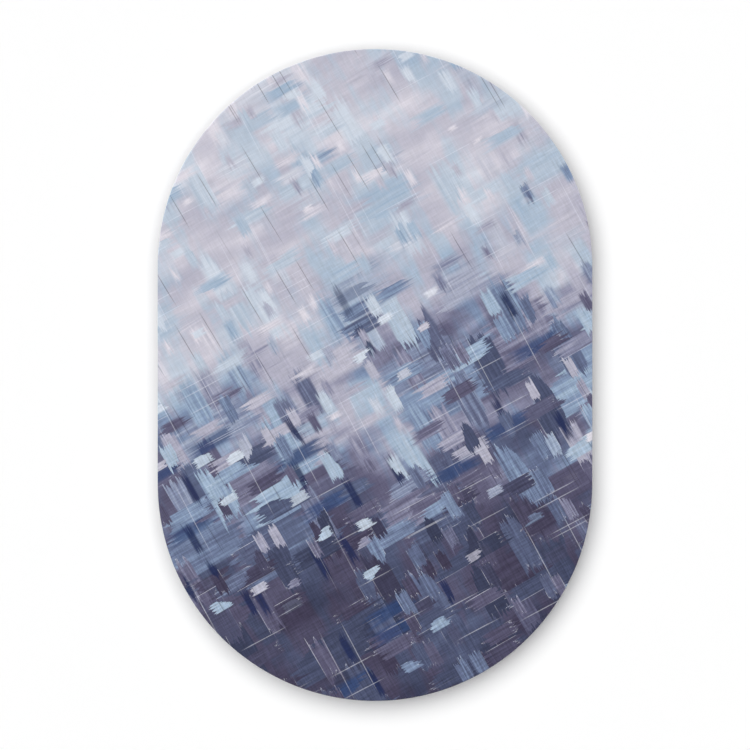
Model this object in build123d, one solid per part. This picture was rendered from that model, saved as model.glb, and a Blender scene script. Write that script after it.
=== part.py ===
"""Collapsible backdrop panel: a sprung steel hoop in the shape of a stadium, held in a sewn rim
between two taut cloths. It folds in half across its middle, printed face inwards, as the first
stage of being twisted into a small disc.

All sizes are in millimetres. The panel stands in the XZ plane: X is its width and Z its height.
Y is the depth, from 0 at the printed front face to DEPTH at the rear cloth. The origin is the
centre of the front face. An inset is a distance inwards from the panel's outline. The band, the
cloths and the tapes run all the way round, and each is built as an upper and a lower half that
meet at the fold line, Z = 0."""

from build123d import *
from math import atan2, degrees, hypot
import os

# The panel
PANEL_WIDTH = 1000.0
PANEL_HEIGHT = 1500.0

# Cloths and tapes
CLOTH = 0.5  # thickness of the front cloth and of the rear cloth
LINING = 0.4  # thickness of the blackout lining
GUSSET = 0.6  # thickness of the strip that makes the rim's side wall
FRONT_ALLOWANCE = 8.0  # how far the gusset is turned in behind the front cloth
REAR_ALLOWANCE = 14.0  # how far the gusset is turned in at the rear
BINDING = 0.6  # thickness of the tape over the rear seam
BINDING_WIDTH = 16.0
BINDING_INSET = 6.0

# Spring band, and the woven sleeve that it runs in
BAND_WIDTH = 8.0
BAND_THICKNESS = 1.0
BAND_CLEARANCE = 0.6
SLEEVE_WALL = 0.4
SLEEVE_TAIL = 12.0  # inset of the inner edge of the sleeve's sewn tail
SLEEVE_MOUTH = 84.0  # length left open where the band's ends are joined

# Ferrule and rivets that join the band's ends
BAND_END_GAP = 2.0
FERRULE_LENGTH = 60.0
FERRULE_WALL = 0.35
FERRULE_CLEARANCE = 0.05
RIVET_SPACING = 30.0
RIVET_RADIUS = 1.2
RIVET_CLEARANCE = 0.05
RIVET_HEAD_RADIUS = 2.2
RIVET_HEAD_HEIGHT = 0.8

# Sewing thread, laid as a raised line
THREAD_WIDTH = 0.8
THREAD_HEIGHT = 0.3
THREAD_EDGE = 2.0  # from the edge of the binding to each row of stitches
FRONT_SEAM_INSET = 5.5

# Roots: the sewn-down ends of the hanging tab and of the retaining strap
ROOT_LENGTH = 20.0
FOLD_INSET = 4.0  # where the tab and the strap fold back over their roots
FOLD_CLEARANCE = 0.3
ROOT_STITCH_MARGIN = 3.0
BACKING_THICKNESS = 1.0
BACKING_MARGIN = 7.0  # how far a backing runs past its root at each side
BACKING_INSET = 4.0
BACKING_LENGTH = 24.0

# Hanging tab
TAB_WIDTH = 25.0
TAB_THICKNESS = 1.2
TAB_LENGTH = 64.0
TAB_CORNER = 4.0
TAB_STITCH_MARGIN = 1.0
TAB_STITCH_LENGTH = 24.0
EYELET_END = 14.0  # from the tab's free end to the eyelet's centre
EYELET_BORE_RADIUS = 5.0
EYELET_WALL = 0.6
EYELET_CLEARANCE = 0.05
EYELET_FLANGE_WIDTH = 4.0
EYELET_FLANGE_THICKNESS = 0.8

# Retaining strap, which holds the coiled panel closed
STRAP_ANGLE = -48.0  # degrees round the top arc from its crown, towards +X
STRAP_WIDTH = 20.0
STRAP_THICKNESS = 1.2
STRAP_LENGTH = 150.0
STRAP_CORNER = 6.0
PAD_THICKNESS = 0.8
PAD_MARGIN = 1.5  # from the strap's edges to its hook pad
HOOK_PAD_LENGTH = 38.0
HOOK_PAD_END = 12.0  # from the strap's free end to its hook pad
FLEECE_PAD_MARGIN = 4.5  # from the root's edges to the fleece pad

# Depths of the rim's layers, from the front face to the rear
SLEEVE_FRONT = CLOTH + GUSSET
BAND_FRONT = SLEEVE_FRONT + SLEEVE_WALL + BAND_CLEARANCE
BAND_REAR = BAND_FRONT + BAND_WIDTH
SLEEVE_REAR = BAND_REAR + BAND_CLEARANCE + SLEEVE_WALL
DEPTH = SLEEVE_REAR + GUSSET

# Insets of the rim's layers, from the gusset inwards
BAND_OUTER = GUSSET + SLEEVE_WALL + BAND_CLEARANCE
BAND_INNER = BAND_OUTER + BAND_THICKNESS
SLEEVE_INNER = BAND_INNER + BAND_CLEARANCE + SLEEVE_WALL
BINDING_INNER = BINDING_INSET + BINDING_WIDTH

# Heights above the rear face of what is sewn on behind
ROOT_BASE = BINDING + THREAD_HEIGHT
TAB_ROOT_TOP = ROOT_BASE + TAB_THICKNESS
TAB_BASE = TAB_ROOT_TOP + THREAD_HEIGHT
TAB_TOP = TAB_BASE + TAB_THICKNESS
STRAP_ROOT_TOP = ROOT_BASE + STRAP_THICKNESS
STRAP_BASE = STRAP_ROOT_TOP + PAD_THICKNESS
STRAP_TOP = STRAP_BASE + STRAP_THICKNESS

HALVES = {"upper": Align.MIN, "lower": Align.MAX}
ON_BASE = (Align.CENTER, Align.CENTER, Align.MIN)


# ---- Shapes that follow the outline ----


def outline(inset, half):
    """The upper or lower half of the panel's outline, moved in by inset."""
    height, width = PANEL_HEIGHT - 2 * inset, PANEL_WIDTH - 2 * inset
    whole = SlotOverall(height, width, rotation=90)
    return whole & Rectangle(width, height, align=(Align.CENTER, HALVES[half]))


def slab(sketch, front, rear):
    """A flat sketch, X across and Y up, made solid from depth front to depth rear."""
    return extrude(Plane.XZ.offset(-front) * sketch, amount=front - rear)


def sheet(inset, front, rear, half):
    """Half of a flat cloth with its edge at inset."""
    return slab(outline(inset, half), front, rear)


def ring(outer, inner, front, rear, half):
    """Half of a ring between two insets and two depths."""
    return slab(outline(outer, half) - outline(inner, half), front, rear)


def joint_region(length):
    """A block at the bottom of the hoop, where the band's ends meet."""
    return Pos(0, DEPTH / 2, -PANEL_HEIGHT / 2) * Box(length, PANEL_WIDTH, PANEL_WIDTH / 2)


# ---- Cloths, linings and tapes ----


def front_cloth(half):
    return sheet(0, 0, CLOTH, half)


def blackout_lining(half):
    return sheet(FRONT_ALLOWANCE, CLOTH, CLOTH + LINING, half)


def rear_cloth(half):
    return sheet(REAR_ALLOWANCE, DEPTH - CLOTH, DEPTH, half)


def edge_gusset(half):
    """The rim's side wall, turned in behind the front cloth and round the rear of the rim."""
    wall = ring(0, GUSSET, CLOTH, DEPTH, half)
    turned_in = ring(0, FRONT_ALLOWANCE, CLOTH, SLEEVE_FRONT, half)
    return wall + turned_in + ring(0, REAR_ALLOWANCE, SLEEVE_REAR, DEPTH, half)


def rear_binding(half):
    return ring(BINDING_INSET, BINDING_INNER, DEPTH, DEPTH + BINDING, half)


def thread_row(inset, base, half):
    """A row of stitches along the rim, standing on depth base."""
    edge = inset - THREAD_WIDTH / 2
    return ring(edge, edge + THREAD_WIDTH, base, base + THREAD_HEIGHT, half)


def binding_stitching(half):
    rows = (BINDING_INSET + THREAD_EDGE, BINDING_INNER - THREAD_EDGE)
    return [thread_row(inset, DEPTH + BINDING, half) for inset in rows]


def front_seam_stitching(half):
    return thread_row(FRONT_SEAM_INSET, SLEEVE_FRONT, half)


# ---- Spring band and its sleeve ----


def band_sleeve(half):
    """A woven tube round the band, with a flat tail that is sewn into the rear seam."""
    tube = ring(GUSSET, SLEEVE_INNER, SLEEVE_FRONT, SLEEVE_REAR, half)
    outer, inner = BAND_OUTER - BAND_CLEARANCE, BAND_INNER + BAND_CLEARANCE
    tube -= ring(outer, inner, BAND_FRONT - BAND_CLEARANCE, BAND_REAR + BAND_CLEARANCE, half)
    sleeve = tube + ring(GUSSET, SLEEVE_TAIL, SLEEVE_REAR - SLEEVE_WALL, SLEEVE_REAR, half)
    return sleeve - joint_region(SLEEVE_MOUTH) if half == "lower" else sleeve


def spring_band(half):
    band = ring(BAND_OUTER, BAND_INNER, BAND_FRONT, BAND_REAR, half)
    if half == "lower":
        band -= joint_region(BAND_END_GAP)
        band -= [plane * rivet_hole() for plane in rivet_planes()]
    return band


def rivet_planes():
    """One plane for each rivet, on the outline at the band's mid depth, with its Z inwards."""
    arc_radius = PANEL_WIDTH / 2
    centre = Vector(0, (BAND_FRONT + BAND_REAR) / 2, arc_radius - PANEL_HEIGHT / 2)
    turn = degrees(RIVET_SPACING / 2 / arc_radius)
    outward = [Vector(0, 0, -1).rotate(Axis.Y, side * turn) for side in (-1, 1)]
    return [Plane(centre + o * arc_radius, x_dir=(0, 1, 0), z_dir=-o) for o in outward]


FERRULE_OUTER = BAND_OUTER - FERRULE_CLEARANCE - FERRULE_WALL
FERRULE_INNER = BAND_INNER + FERRULE_CLEARANCE + FERRULE_WALL


def rivet_hole():
    depth = FERRULE_INNER + FERRULE_WALL
    return Cylinder(RIVET_RADIUS + RIVET_CLEARANCE, depth, align=ON_BASE)


def band_ferrule():
    """A flat steel tube over both ends of the band, drilled for two rivets."""
    bore_outer, bore_inner = BAND_OUTER - FERRULE_CLEARANCE, BAND_INNER + FERRULE_CLEARANCE
    bore_front, bore_rear = BAND_FRONT - FERRULE_CLEARANCE, BAND_REAR + FERRULE_CLEARANCE
    front, rear = bore_front - FERRULE_WALL, bore_rear + FERRULE_WALL
    tube = ring(FERRULE_OUTER, FERRULE_INNER, front, rear, "lower")
    tube -= ring(bore_outer, bore_inner, bore_front, bore_rear, "lower")
    tube &= joint_region(FERRULE_LENGTH)
    return tube - [plane * rivet_hole() for plane in rivet_planes()]


def ferrule_rivets():
    """Rivets driven from outside the hoop, each with its head on the ferrule's inner side."""
    head_base = FERRULE_INNER + RIVET_CLEARANCE
    shank = Pos(0, 0, FERRULE_OUTER) * Cylinder(RIVET_RADIUS, head_base - FERRULE_OUTER, align=ON_BASE)
    head = Pos(0, 0, head_base) * Cylinder(RIVET_HEAD_RADIUS, RIVET_HEAD_HEIGHT, align=ON_BASE)
    return [plane * (shank + head) for plane in rivet_planes()]


# ---- What is sewn on at the rear ----


def rim_plane(angle):
    """A plane on the rim's rear face, angle degrees clockwise round the top arc from its crown.
    Its X runs along the rim, its Y inwards from the outline and its Z out of the rear face."""
    arc_radius = PANEL_WIDTH / 2
    outward = Vector(0, 0, 1).rotate(Axis.Y, angle)
    centre = Vector(0, DEPTH, PANEL_HEIGHT / 2 - arc_radius)
    along = Vector(1, 0, 0).rotate(Axis.Y, angle)
    return Plane(centre + outward * arc_radius, x_dir=along, z_dir=(0, 1, 0))


def strip(width, start, end, base, top, corner=0.0):
    """A flat strip across the rim, in a rim plane's axes, from inset start to inset end. A
    corner radius rounds its inner end."""
    shape = Pos(0, start) * Rectangle(width, end - start, align=(Align.CENTER, Align.MIN))
    if corner:
        shape = fillet(shape.vertices().group_by(Axis.Y)[-1], corner)
    return extrude(Pos(0, 0, base) * shape, amount=top - base)


def stitched_box(width, length, middle, base, crossed=False):
    """A rectangle of raised thread centred on inset middle, with a cross inside if crossed."""
    whole = Rectangle(width, length)
    thread = whole - Rectangle(width - 2 * THREAD_WIDTH, length - 2 * THREAD_WIDTH)
    if crossed:
        turn = degrees(atan2(length, width))
        for angle in (turn, -turn):
            diagonal = Rot(0, 0, angle) * Rectangle(hypot(width, length), THREAD_WIDTH)
            thread += diagonal & whole
    return extrude(Pos(0, middle, base) * thread, amount=THREAD_HEIGHT)


def root(width, top):
    """The sewn-down end of the tab or of the strap, on top of the binding."""
    return strip(width, FOLD_INSET + FOLD_CLEARANCE, FOLD_INSET + ROOT_LENGTH, ROOT_BASE, top)


def root_stitching(width, top, crossed):
    start, end = FOLD_INSET + FOLD_CLEARANCE, FOLD_INSET + ROOT_LENGTH
    length = end - start - 2 * ROOT_STITCH_MARGIN
    return stitched_box(width - 2 * ROOT_STITCH_MARGIN, length, (start + end) / 2, top, crossed)


def backing(width):
    """A patch inside the rim that takes the root's stitches."""
    top = SLEEVE_REAR - SLEEVE_WALL - DEPTH
    end = BACKING_INSET + BACKING_LENGTH
    return strip(width + 2 * BACKING_MARGIN, BACKING_INSET, end, top - BACKING_THICKNESS, top)


TAB_END = FOLD_INSET + TAB_LENGTH
EYELET_INSET = TAB_END - EYELET_END
BARREL_RADIUS = EYELET_BORE_RADIUS + EYELET_WALL


def eyelet_ring(outer, inner, base, top):
    shape = Circle(outer) - Circle(inner)
    return extrude(Pos(0, EYELET_INSET, base) * shape, amount=top - base)


def hang_tab():
    tab = strip(TAB_WIDTH, FOLD_INSET + FOLD_CLEARANCE, TAB_END, TAB_BASE, TAB_TOP, TAB_CORNER)
    hole = Circle(BARREL_RADIUS + EYELET_CLEARANCE)
    return tab - extrude(Pos(0, EYELET_INSET, TAB_BASE) * hole, amount=TAB_THICKNESS)


def hang_tab_stitching():
    width = TAB_WIDTH - 2 * TAB_STITCH_MARGIN
    return stitched_box(width, TAB_STITCH_LENGTH, EYELET_INSET, TAB_TOP)


def hang_eyelet():
    """A barrel through the tab with a flange under it, open for a hook."""
    base = TAB_BASE - EYELET_FLANGE_THICKNESS
    barrel = eyelet_ring(BARREL_RADIUS, EYELET_BORE_RADIUS, base, TAB_TOP + EYELET_FLANGE_THICKNESS)
    flange = eyelet_ring(BARREL_RADIUS + EYELET_FLANGE_WIDTH, EYELET_BORE_RADIUS, base, TAB_BASE)
    return barrel + flange


def hang_eyelet_washer():
    outer, inner = BARREL_RADIUS + EYELET_FLANGE_WIDTH, BARREL_RADIUS + EYELET_CLEARANCE
    return eyelet_ring(outer, inner, TAB_TOP, TAB_TOP + EYELET_FLANGE_THICKNESS)


STRAP_END = FOLD_INSET + STRAP_LENGTH


def retaining_strap():
    start = FOLD_INSET + FOLD_CLEARANCE
    return strip(STRAP_WIDTH, start, STRAP_END, STRAP_BASE, STRAP_TOP, STRAP_CORNER)


def strap_hook_pad():
    end = STRAP_END - HOOK_PAD_END
    width = STRAP_WIDTH - 2 * PAD_MARGIN
    return strip(width, end - HOOK_PAD_LENGTH, end, STRAP_TOP, STRAP_TOP + PAD_THICKNESS)


def strap_fleece_pad():
    start = FOLD_INSET + FOLD_CLEARANCE + FLEECE_PAD_MARGIN
    end = FOLD_INSET + ROOT_LENGTH - FLEECE_PAD_MARGIN
    return strip(STRAP_WIDTH - 2 * FLEECE_PAD_MARGIN, start, end, STRAP_ROOT_TOP, STRAP_BASE)


# ---- The assembly ----

HALF_PIECES = (
    front_cloth,
    blackout_lining,
    rear_cloth,
    edge_gusset,
    rear_binding,
    binding_stitching,
    front_seam_stitching,
    band_sleeve,
    spring_band,
)

crown, strap_place = rim_plane(0), rim_plane(STRAP_ANGLE)
nodes = {f"{piece.__name__}_{half}": piece(half) for piece in HALF_PIECES for half in HALVES}
nodes |= {
    "band_ferrule": band_ferrule(),
    "ferrule_rivets": ferrule_rivets(),
    "hang_tab_root": crown * root(TAB_WIDTH, TAB_ROOT_TOP),
    "hang_root_stitching": crown * root_stitching(TAB_WIDTH, TAB_ROOT_TOP, crossed=True),
    "hang_backing": crown * backing(TAB_WIDTH),
    "hang_tab": crown * hang_tab(),
    "hang_tab_stitching": crown * hang_tab_stitching(),
    "hang_eyelet": crown * hang_eyelet(),
    "hang_eyelet_washer": crown * hang_eyelet_washer(),
    "strap_root": strap_place * root(STRAP_WIDTH, STRAP_ROOT_TOP),
    "strap_root_stitching": strap_place * root_stitching(STRAP_WIDTH, STRAP_ROOT_TOP, crossed=False),
    "strap_backing": strap_place * backing(STRAP_WIDTH),
    "strap_fleece_pad": strap_place * strap_fleece_pad(),
    "retaining_strap": strap_place * retaining_strap(),
    "strap_hook_pad": strap_place * strap_hook_pad(),
}

os.makedirs("parts", exist_ok=True)
for name, shape in nodes.items():
    solids = [s for piece in (shape if isinstance(shape, list) else [shape]) for s in piece.solids()]
    export_step(solids[0] if len(solids) == 1 else Compound(children=solids), f"parts/{name}.step")
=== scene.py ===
"""Dresses the collapsible backdrop panel: its cloths, rim, stitching and flaps, and their finishes."""

import math
import random

import bmesh
import bpy
from mathutils import Matrix, Vector


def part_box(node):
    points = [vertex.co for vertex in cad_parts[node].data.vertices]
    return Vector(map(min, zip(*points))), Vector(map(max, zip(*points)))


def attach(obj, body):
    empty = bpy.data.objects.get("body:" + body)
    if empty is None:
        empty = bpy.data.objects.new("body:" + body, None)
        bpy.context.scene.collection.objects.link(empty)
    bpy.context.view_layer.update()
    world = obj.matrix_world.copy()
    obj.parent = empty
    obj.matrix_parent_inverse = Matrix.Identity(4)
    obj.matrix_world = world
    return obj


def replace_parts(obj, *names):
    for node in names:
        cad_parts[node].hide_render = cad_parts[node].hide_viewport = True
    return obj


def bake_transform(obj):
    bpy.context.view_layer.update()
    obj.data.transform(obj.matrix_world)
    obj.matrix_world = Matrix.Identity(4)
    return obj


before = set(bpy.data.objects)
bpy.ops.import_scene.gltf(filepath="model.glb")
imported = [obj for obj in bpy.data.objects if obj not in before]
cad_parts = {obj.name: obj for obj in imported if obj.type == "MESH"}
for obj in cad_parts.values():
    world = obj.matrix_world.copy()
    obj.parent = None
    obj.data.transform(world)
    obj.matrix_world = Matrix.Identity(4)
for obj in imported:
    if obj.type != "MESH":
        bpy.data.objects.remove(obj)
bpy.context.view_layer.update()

# ---- Sizes, in metres ----
# An inset is a distance inwards from the panel's outline. A depth is the distance behind its front.

MM = 0.001
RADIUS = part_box("front_cloth_upper")[1][0]  # of the outline's end arcs: half the panel's width
HALF_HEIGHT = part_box("front_cloth_upper")[1][2]
ARC_HEIGHT = HALF_HEIGHT - RADIUS  # of the upper arc's centre
RIM_LENGTH = 2 * math.pi * RADIUS + 4 * ARC_HEIGHT


def inset_of(node):
    """How far inside the outline a node that goes round the upper half starts."""
    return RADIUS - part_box(node)[1][0]


def depths_of(node):
    """The depths of a node's front and of its rear."""
    low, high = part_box(node)
    return low[1], high[1]


CLOTH = depths_of("front_cloth_upper")[1]  # thickness of the front cloth
DEPTH = depths_of("edge_gusset_upper")[1]
BINDING_REAR = depths_of("rear_binding_upper")[1]
BINDING_INSET = inset_of("rear_binding_upper")
BINDING_INNER = BINDING_INSET + 16 * MM
ROW_INSETS = (BINDING_INSET + 2 * MM, BINDING_INNER - 2 * MM)  # of the binding's two rows of stitches
THREAD_WIDTH = 0.8 * MM
THREAD_HEIGHT = 0.3 * MM
STITCH_PITCH = 4 * MM
STITCH_LENGTH = 3.2 * MM

ARC_STEPS = 60  # stations on each quarter of the outline
STRAIGHT_STEPS = 56  # stations on each straight side
COLUMNS = 48  # across a cloth

# The puckers of the rear cloth, where the binding's seam gathers it
PUCKER_RISE = 2.3 * MM
PUCKER_INSETS = [inset * MM for inset in (18, 24, 29, 35, 42, 52, 64, 80, 100, 126, 165)]
PUCKER_WAVES = ((53, 0.4), (71, 2.1), (41, 4.4))  # (waves round the rim, phase)
PUCKER_GROUPS = 7  # round the rim; odd, so that the cloth lies flattest under the hanging tab


def srgb(red, green, blue):
    """A colour written as on a screen, 0 to 255, as Blender's linear colour."""
    parts = [c / 255 for c in (red, green, blue)]
    return tuple(c / 12.92 if c <= 0.04045 else ((c + 0.055) / 1.055) ** 2.4 for c in parts) + (1.0,)


def shaded(colour, factor):
    """The colour made darker, or lighter with a factor above 1."""
    return tuple(c * factor for c in colour[:3]) + (1.0,)


# ---- Camera and lights ----

VIEW_WIDTH = 1.7255  # what the frame takes in at the panel
CAMERA_DISTANCE = 12.0

# How brightly each light shows a white surface that faces it
KEY = 0.985
REAR_KEY = 1.25
EDGE_FILL = 0.45
AMBIENT = 0.03


def make_camera():
    data = bpy.data.cameras.new("camera")
    data.sensor_width = 36
    data.lens = data.sensor_width * CAMERA_DISTANCE / VIEW_WIDTH
    camera = bpy.data.objects.new("camera", data)
    camera.location = (0, -CAMERA_DISTANCE, 0)
    camera.rotation_euler = (math.radians(90), 0, 0)
    bpy.context.collection.objects.link(camera)
    bpy.context.scene.camera = camera
    bpy.context.scene.view_settings.view_transform = "Standard"


def make_sun(name, direction, brightness, angle):
    """A sun that shines along direction, as wide as angle degrees."""
    data = bpy.data.lights.new(name, "SUN")
    data.energy = brightness * math.pi
    data.angle = math.radians(angle)
    lamp = bpy.data.objects.new(name, data)
    lamp.rotation_euler = Vector(direction).to_track_quat("-Z", "Y").to_euler()
    bpy.context.collection.objects.link(lamp)


make_camera()
make_sun("key", (0.17, 1, -0.20), KEY, 68)
make_sun("rear_key", (0.75, -1, -0.55), REAR_KEY, 25)
# These graze the panel's two faces, and light its edge
make_sun("left_fill", (1, 0, 0), EDGE_FILL, 4)
make_sun("right_fill", (-1, 0, 0), EDGE_FILL, 4)
make_sun("top_fill", (0, 0, -1), EDGE_FILL, 4)


# ---- Node helpers ----


class Nodes:
    """Builds one material or world. Each call makes a node and returns one of its outputs, but
    surface and end_with return the material or world itself."""

    def __init__(self, owner):
        owner.use_nodes = True
        self.owner, self.tree = owner, owner.node_tree
        self.tree.nodes.clear()

    def add(self, kind, inputs=None, out=0, **settings):
        node = self.tree.nodes.new(kind)
        for key, value in settings.items():
            setattr(node, key, value)
        for key, value in (inputs or {}).items():
            if isinstance(value, bpy.types.NodeSocket):
                self.tree.links.new(value, node.inputs[key])
            else:
                node.inputs[key].default_value = value
        return node.outputs[out]

    def math(self, operation, a, b=0.0):
        return self.add("ShaderNodeMath", {0: a, 1: b}, operation=operation)

    def plus(self, a, b):
        return self.math("ADD", a, b)

    def minus(self, a, b):
        return self.math("SUBTRACT", a, b)

    def times(self, a, *others):
        for other in others:
            a = self.math("MULTIPLY", a, other)
        return a

    def humps(self, value):
        """A row of equal humps, 0 to 1, each as long as pi."""
        return self.math("ABSOLUTE", self.math("SINE", value))

    def vector(self, operation, a, b=(0.0, 0.0, 0.0), out=0):
        return self.add("ShaderNodeVectorMath", {0: a, 1: b}, out=out, operation=operation)

    def scaled(self, a, factor):
        return self.add("ShaderNodeVectorMath", {0: a, "Scale": factor}, operation="SCALE")

    def split(self, vector):
        node = self.add("ShaderNodeSeparateXYZ", {0: vector}).node
        return node.outputs[0], node.outputs[1], node.outputs[2]

    def mix(self, factor, a, b):
        return self.add("ShaderNodeMix", {0: factor, 6: a, 7: b}, out=2, data_type="RGBA")

    def step(self, value, low, high):
        """0 below low and 1 above high, smooth between; low may be above high."""
        inputs = {"Value": value, 1: low, 2: high, 3: 0.0, 4: 1.0}
        return self.add("ShaderNodeMapRange", inputs, interpolation_type="SMOOTHSTEP", clamp=True)

    def span(self, value, start, end, low=0.0, high=1.0):
        """start below low and end above high, with even steps between."""
        return self.add("ShaderNodeMapRange", {"Value": value, 1: low, 2: high, 3: start, 4: end})

    def ramp(self, value, stops):
        node = self.tree.nodes.new("ShaderNodeValToRGB")
        elements = node.color_ramp.elements
        while len(elements) < len(stops):
            elements.new(1.0)
        for element, (position, colour) in zip(elements, stops):
            element.position = position
            element.color = colour
        self.tree.links.new(value, node.inputs[0])
        return node.outputs[0]

    def noise(self, vector, scale, detail=2.0, roughness=0.5):
        inputs = {"Vector": vector, "Scale": scale, "Detail": detail, "Roughness": roughness}
        return self.add("ShaderNodeTexNoise", inputs)

    def mapped(self, vector, scale=(1, 1, 1), angle=0.0, place=(0, 0, 0)):
        """vector in axes that lie at angle degrees, then scaled along those axes, then moved."""
        turned = self.add("ShaderNodeVectorRotate", {"Vector": vector, "Angle": math.radians(-angle)})
        stretched = self.vector("MULTIPLY", turned, scale)
        return self.vector("ADD", stretched, place)

    def bump(self, height, distance, strength):
        inputs = {"Height": height, "Distance": distance, "Strength": strength}
        return self.add("ShaderNodeBump", inputs)

    def surface(self, colour, roughness, relief, specular=0.5, sheen=0.0, **others):
        inputs = {"Base Color": colour, "Roughness": roughness, "Normal": relief}
        inputs |= {"Specular IOR Level": specular, "Sheen Weight": sheen, **others}
        return self.end_with(self.add("ShaderNodeBsdfPrincipled", inputs))

    def end_with(self, shader, kind="ShaderNodeOutputMaterial"):
        self.tree.links.new(shader, self.tree.nodes.new(kind).inputs[0])
        return self.owner


def new_material(slot):
    material = bpy.data.materials.new(slot)
    return Nodes(material)


# ---- Stage: wall, floor and world ----

WALL_GAP = 0.070  # from the front face back to the wall
WALL_TURN = math.radians(1)  # its right side comes forward, so that it is clear seen from that side
FLOOR_DROP = 0.2  # from the panel's lowest point down to the floor
STAGE_REACH = 8.0
WHITE = (1, 1, 1, 1)
PALE_GREY = (0.8, 0.8, 0.8, 1)
FLOOR_LIFT = 0.6


def white_where_seen(nodes, ambient):
    """A world that the camera and glossy rays see as white, and that lights at ambient."""
    path = nodes.add("ShaderNodeLightPath").node
    seen = nodes.math("MAXIMUM", path.outputs["Is Camera Ray"], path.outputs["Is Glossy Ray"])
    seen = nodes.math("MAXIMUM", seen, path.outputs["Is Transmission Ray"])
    light = nodes.add("ShaderNodeBackground", {"Color": WHITE, "Strength": nodes.span(seen, ambient, 1.0)})
    nodes.end_with(light, "ShaderNodeOutputWorld")


def add_stage(name, material, *corners):
    """A plane that takes shadows, but casts none and throws no light back on the object."""
    mesh = bpy.data.meshes.new(name)
    mesh.from_pydata(corners, [], [(0, 1, 2, 3)])
    mesh.materials.append(material)
    piece = bpy.data.objects.new(name, mesh)
    piece.visible_shadow = False
    piece.visible_diffuse = False
    bpy.context.collection.objects.link(piece)


def wall_paint():
    """Matt white paint on one side only, clear seen from behind."""
    nodes = Nodes(bpy.data.materials.new("white_wall"))
    back = nodes.add("ShaderNodeNewGeometry", out="Backfacing")
    sides = {0: back, 1: nodes.add("ShaderNodeBsdfDiffuse", {"Color": WHITE})}
    sides[2] = nodes.add("ShaderNodeBsdfTransparent")
    return nodes.end_with(nodes.add("ShaderNodeMixShader", sides))


def floor_paint():
    """Matt pale paint that the camera sees lifted towards white."""
    nodes = Nodes(bpy.data.materials.new("pale_floor"))
    paint = nodes.add("ShaderNodeBsdfDiffuse", {"Color": PALE_GREY})
    seen = nodes.times(nodes.add("ShaderNodeLightPath", out="Is Camera Ray"), FLOOR_LIFT)
    glow = nodes.add("ShaderNodeEmission", {"Color": WHITE, "Strength": seen})
    return nodes.end_with(nodes.add("ShaderNodeAddShader", {0: paint, 1: glow}))


def make_stage():
    world = bpy.data.worlds.new("studio")
    bpy.context.scene.world = world
    white_where_seen(Nodes(world), AMBIENT)
    far, low = STAGE_REACH, -HALF_HEIGHT - FLOOR_DROP
    turn = far * math.tan(WALL_TURN)
    left, right = WALL_GAP + turn, WALL_GAP - turn
    corners = ((-far, left, low), (far, right, low), (far, right, far), (-far, left, far))
    add_stage("wall", wall_paint(), *corners)
    corners = ((-far, -far, low), (far, -far, low), (far, far, low), (-far, far, low))
    add_stage("floor", floor_paint(), *corners)


make_stage()


# ---- Shapes that follow the outline ----
# A station is (height of the arc's centre, outward angle): the point at inset n there is
# RADIUS - n from that centre. The right side runs up from the lowest point to the highest.


def right_side():
    quarter = math.pi / 2
    lower = [(-ARC_HEIGHT, quarter * (i / ARC_STEPS - 1)) for i in range(ARC_STEPS + 1)]
    straight = [(ARC_HEIGHT * (2 * i / STRAIGHT_STEPS - 1), 0.0) for i in range(1, STRAIGHT_STEPS)]
    upper = [(ARC_HEIGHT, quarter * i / ARC_STEPS) for i in range(ARC_STEPS + 1)]
    return lower + straight + upper


def whole_outline():
    """Stations right round, anticlockwise seen from the front, with each side's sign."""
    side = right_side()
    return [(*s, 1) for s in side] + [(*s, -1) for s in reversed(side[1:-1])]


def outline_point(station, inset, depth):
    centre, angle, side = station
    reach = RADIUS - inset
    return Vector((side * reach * math.cos(angle), depth, centre + reach * math.sin(angle)))


def outward(station):
    _, angle, side = station
    return Vector((side * math.cos(angle), 0, math.sin(angle)))


def lengths_along(points):
    """How far along a line of points each of them is."""
    lengths = [0.0]
    for here, there in zip(points, points[1:]):
        lengths.append(lengths[-1] + math.dist(here, there))
    return lengths


def skin(rings, size, closed=False, first=0):
    """The faces between rings of size points each. If closed, the last ring joins the first."""
    faces = []
    for i in range(rings if closed else rings - 1):
        a, b = first + i * size, first + (i + 1) % rings * size
        for k in range(size):
            k2 = (k + 1) % size
            faces.append((a + k, b + k, b + k2, a + k2))
    return faces


def mesh_of(points, faces, places=None, corners=None):
    """A mesh. Its UV map is made from the place of each point, or of each corner of each face."""
    mesh = bpy.data.meshes.new("mesh")
    mesh.from_pydata(points, [], faces)
    if places:
        corners = [places[v] for face in faces for v in face]
    if corners:
        layer = mesh.uv_layers.new(name="flat")
        for loop, corner in zip(layer.data, corners):
            loop.uv = corner
    return mesh


def finish_piece(name, mesh, material, body=None, sharp=35.0):
    """Makes the mesh a piece with smooth shading, its finish and its body."""
    mesh.name = name
    mesh.validate()
    work = bmesh.new()
    work.from_mesh(mesh)
    bmesh.ops.recalc_face_normals(work, faces=work.faces)
    work.to_mesh(mesh)
    work.free()
    mesh.shade_smooth()
    mesh.set_sharp_from_angle(angle=math.radians(sharp))
    mesh.materials.clear()
    mesh.materials.append(material)
    piece = bpy.data.objects.new(name, mesh)
    bpy.context.collection.objects.link(piece)
    if body:
        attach(piece, body)
    return piece


def wrap_panel(name, mesh, material, sharp=35.0):
    """A piece that stands for both halves of the node of its name."""
    piece = finish_piece(name, mesh, material, sharp=sharp)
    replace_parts(piece, f"{name}_upper", f"{name}_lower")
    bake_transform(piece)
    return piece


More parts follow.
